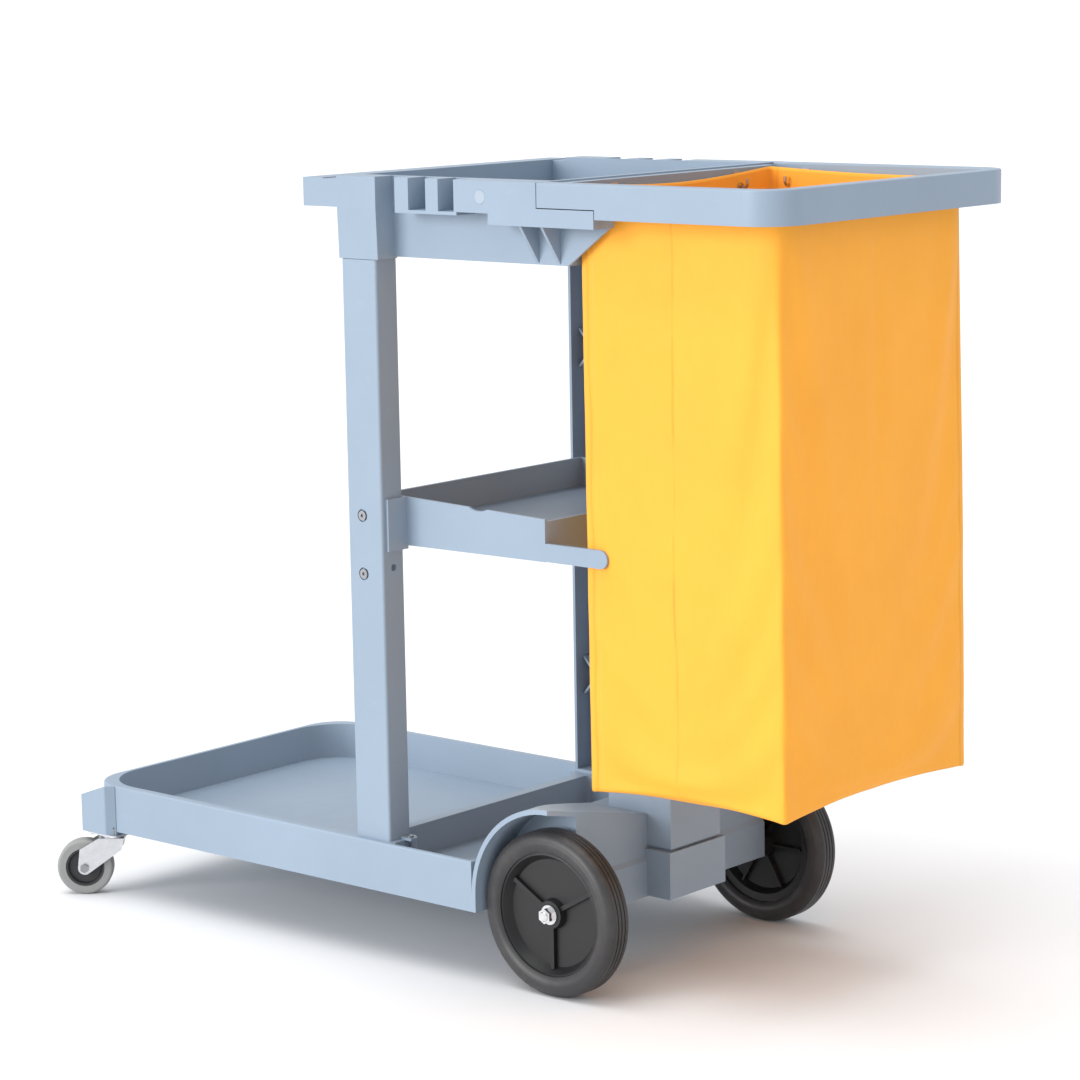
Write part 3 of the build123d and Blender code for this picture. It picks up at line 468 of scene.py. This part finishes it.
def fill_out(side, share, down):
    """How far a wall stands out of its flat shape: a soft belly, a fold line and slow waves."""
    across = math.sin(math.pi * share)
    belly = BELLY * across * math.sin(math.pi * min(1.0, down * 1.02)) ** 0.8
    fold_at = (0.47, 0.50, 0.47, 0.50)[side]
    away = (share - fold_at) / MIDDLE_FOLD_WIDTH
    fold = -MIDDLE_FOLD * math.exp(-(away**2)) * min(1.0, 6 * down)
    ripple = noise.noise(Vector((side * 7.0 + share * 7.5, 1.3, down * 0.7)))
    billow = noise.noise(Vector((side * 9.0 + share * 2.2, 5.1, down * 2.4)))
    return belly + fold + (RIPPLE * ripple + BILLOW * billow) * across


def bag_mesh():
    """Builds the bag's walls and bottom as one open mesh of even cells."""
    walk = bag_columns()
    mesh = bmesh.new()
    rows = []
    for j in range(CELLS_Z + 1):
        down = j / CELLS_Z
        row = []
        for side, share in walk:
            point = bag_point(side, share, down)
            point += side_normal(side) * fill_out(side, share, down)
            row.append(mesh.verts.new(point))
        rows.append(row)
    count = len(walk)
    for j in range(CELLS_Z):
        for i in range(count):
            k = (i + 1) % count
            mesh.faces.new((rows[j][i], rows[j + 1][i], rows[j + 1][k], rows[j][k]))
    bottom_panel(mesh, rows[-1])
    lay_out(mesh, count)
    data = bpy.data.meshes.new("bag_cloth")
    mesh.normal_update()
    mesh.to_mesh(data)
    mesh.free()
    return data, count


def bottom_panel(mesh, rim):
    """Closes the bag below, drawn up a little between its seams; rim is the lowest row."""
    grid = {}
    for a in range(CELLS_X + 1):
        for b in range(CELLS_Y + 1):
            if b == 0:
                vert = rim[a]
            elif a == CELLS_X:
                vert = rim[CELLS_X + b]
            elif b == CELLS_Y:
                vert = rim[CELLS_X + CELLS_Y + (CELLS_X - a)]
            elif a == 0:
                vert = rim[2 * CELLS_X + CELLS_Y + (CELLS_Y - b)]
            else:
                s, t = a / CELLS_X, b / CELLS_Y
                x = bag_low.x + LENGTH * s
                y = BAG_HALF * (2 * t - 1)
                rise = PANEL_RISE * (1 - abs(2 * s - 1) ** 4) * (1 - abs(2 * t - 1) ** 4)
                z = BAG_BOTTOM + PANEL_GAP + REAR_LIFT * s + rise
                vert = mesh.verts.new((x, y, z))
            grid[a, b] = vert
    for a in range(CELLS_X):
        for b in range(CELLS_Y):
            mesh.faces.new((grid[a, b], grid[a, b + 1], grid[a + 1, b + 1], grid[a + 1, b]))


def lay_out(mesh, count):
    """Gives the cloth flat coordinates in metres: round the bag, and down from the hem."""
    mesh.verts.index_update()
    flat = mesh.loops.layers.uv.new("flat")
    starts = (0.0, LENGTH, LENGTH + WIDTH, 2 * LENGTH + WIDTH)
    walk = bag_columns()
    for face in mesh.faces:
        on_wall = all(vert.index < count * (CELLS_Z + 1) for vert in face.verts)
        on_wall = on_wall and len({vert.index // count for vert in face.verts}) > 1
        columns = {vert.index % count for vert in face.verts}
        for loop in face.loops:
            if not on_wall:
                loop[flat].uv = (loop.vert.co.x + 9.0, loop.vert.co.y + 9.0)
                continue
            row, column = divmod(loop.vert.index, count)
            side, share = walk[column]
            run = LENGTH if side % 2 == 0 else WIDTH
            place = starts[side] + share * run
            if column == 0 and count - 1 in columns:
                place = 2 * (LENGTH + WIDTH)
            loop[flat].uv = (place, row / CELLS_Z * TALL)


def drape(piece, count):
    """Lets the cloth settle under gravity between its seams, then keeps the result."""
    pins = piece.vertex_groups.new(name="pins")
    seams = {0, CELLS_X, CELLS_X + CELLS_Y, 2 * CELLS_X + CELLS_Y}
    for j in range(CELLS_Z + 1):
        for i in range(count):
            if j == 0 or j == CELLS_Z:
                weight = 1.0
            elif i in seams:
                weight = 0.9
            else:
                continue
            pins.add([j * count + i], weight, "REPLACE")
    cloth = piece.modifiers.new("drape", "CLOTH")
    settings = cloth.settings
    settings.quality = 6
    settings.mass = 0.25
    settings.tension_stiffness = 18
    settings.compression_stiffness = 10
    settings.shear_stiffness = 6
    settings.bending_stiffness = 2.5
    settings.tension_damping = 12
    settings.compression_damping = 12
    settings.vertex_group_mass = "pins"
    settings.pin_stiffness = 4
    settings.shrink_min = -0.0005
    settings.use_pressure = True
    settings.uniform_pressure_force = 0.10
    cloth.collision_settings.use_collision = False
    cloth.collision_settings.use_self_collision = False
    scene = bpy.context.scene
    cloth.point_cache.frame_start = 1
    cloth.point_cache.frame_end = SETTLE_FRAMES
    for step in range(1, SETTLE_FRAMES + 1):
        scene.frame_set(step)
    depsgraph = bpy.context.evaluated_depsgraph_get()
    settled = bpy.data.meshes.new_from_object(piece.evaluated_get(depsgraph))
    before = [v.co.copy() for v in piece.data.vertices]
    for vert, start in zip(settled.vertices, before):
        move = vert.co - start
        if move.length > LARGEST_MOVE:
            vert.co = start + move.normalized() * LARGEST_MOVE
    piece.modifiers.remove(cloth)
    piece.data = settled
    scene.frame_set(1)


def bag_piece():
    """The cloth bag: built, draped, thickened and put in the place of the CAD bag."""
    data, count = bag_mesh()
    piece = bpy.data.objects.new("bag_cloth", data)
    bpy.context.scene.collection.objects.link(piece)
    drape(piece, count)
    for polygon in piece.data.polygons:
        polygon.use_smooth = True
    piece.data.materials.clear()
    piece.data.materials.append(cloth_look.material)
    rounds = piece.modifiers.new("round", "SUBSURF")
    rounds.levels = rounds.render_levels = 1
    thick = piece.modifiers.new("cloth", "SOLIDIFY")
    thick.thickness = CLOTH_THICKNESS
    thick.offset = -1.0
    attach(piece, "chassis")
    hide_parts("bag")


bag_piece()

# Floor, lights and camera -----------------------------------------------------------------


def studio():
    """A wide pale floor under an even pale sky."""
    bpy.ops.mesh.primitive_plane_add(size=600, location=(0, 0, 0))
    floor = bpy.context.object
    floor.name = "studio_floor"
    look = Look("studio_floor", roughness=0.85)
    look.color(look.mix(look.noise(3.0, 2.0), (0.80, 0.80, 0.81), (0.81, 0.81, 0.82)))
    floor.data.materials.append(look.material)
    world = bpy.data.worlds.new("studio")
    bpy.context.scene.world = world
    world.use_nodes = True
    background = world.node_tree.nodes["Background"]
    background.inputs["Color"].default_value = (0.97, 0.985, 1.0, 1.0)
    background.inputs["Strength"].default_value = 0.82


def soft_sun(name, toward, strength, angle):
    """A broad distant lamp; toward points from the object to the lamp."""
    data = bpy.data.lights.new(name, "SUN")
    data.energy = strength
    data.angle = math.radians(angle)
    lamp = bpy.data.objects.new(name, data)
    bpy.context.scene.collection.objects.link(lamp)
    lamp.rotation_euler = Vector(toward).to_track_quat("Z", "Y").to_euler()


def camera():
    """A camera at the viewing angle of the main picture."""
    azimuth, elevation, roll = map(math.radians, (40.97, 9.55, -0.99))
    distance = 4.2117
    target = Vector((0.0441, 0.0, 0.5064))
    back = Vector(
        (
            math.sin(azimuth) * math.cos(elevation),
            -math.cos(azimuth) * math.cos(elevation),
            math.sin(elevation),
        )
    )
    right = Vector((math.cos(azimuth), math.sin(azimuth), 0.0))
    up = back.cross(right)
    right, up = (
        right * math.cos(roll) + up * math.sin(roll),
        up * math.cos(roll) - right * math.sin(roll),
    )
    data = bpy.data.cameras.new("camera")
    data.lens = 111.12
    data.sensor_width = 36.0
    data.clip_end = 900.0
    eye = bpy.data.objects.new("camera", data)
    bpy.context.scene.collection.objects.link(eye)
    axes = Matrix((right, up, back)).transposed()
    eye.matrix_world = Matrix.Translation(target + back * distance) @ axes.to_4x4()
    bpy.context.scene.camera = eye


studio()
soft_sun("key", (-0.35, -0.92, 0.20), 2.40, 35.0)
soft_sun("top", (-0.10, -0.15, 0.98), 1.60, 50.0)
camera()
bpy.context.scene.view_settings.view_transform = "Standard"
bpy.context.scene.view_settings.exposure = 0.0
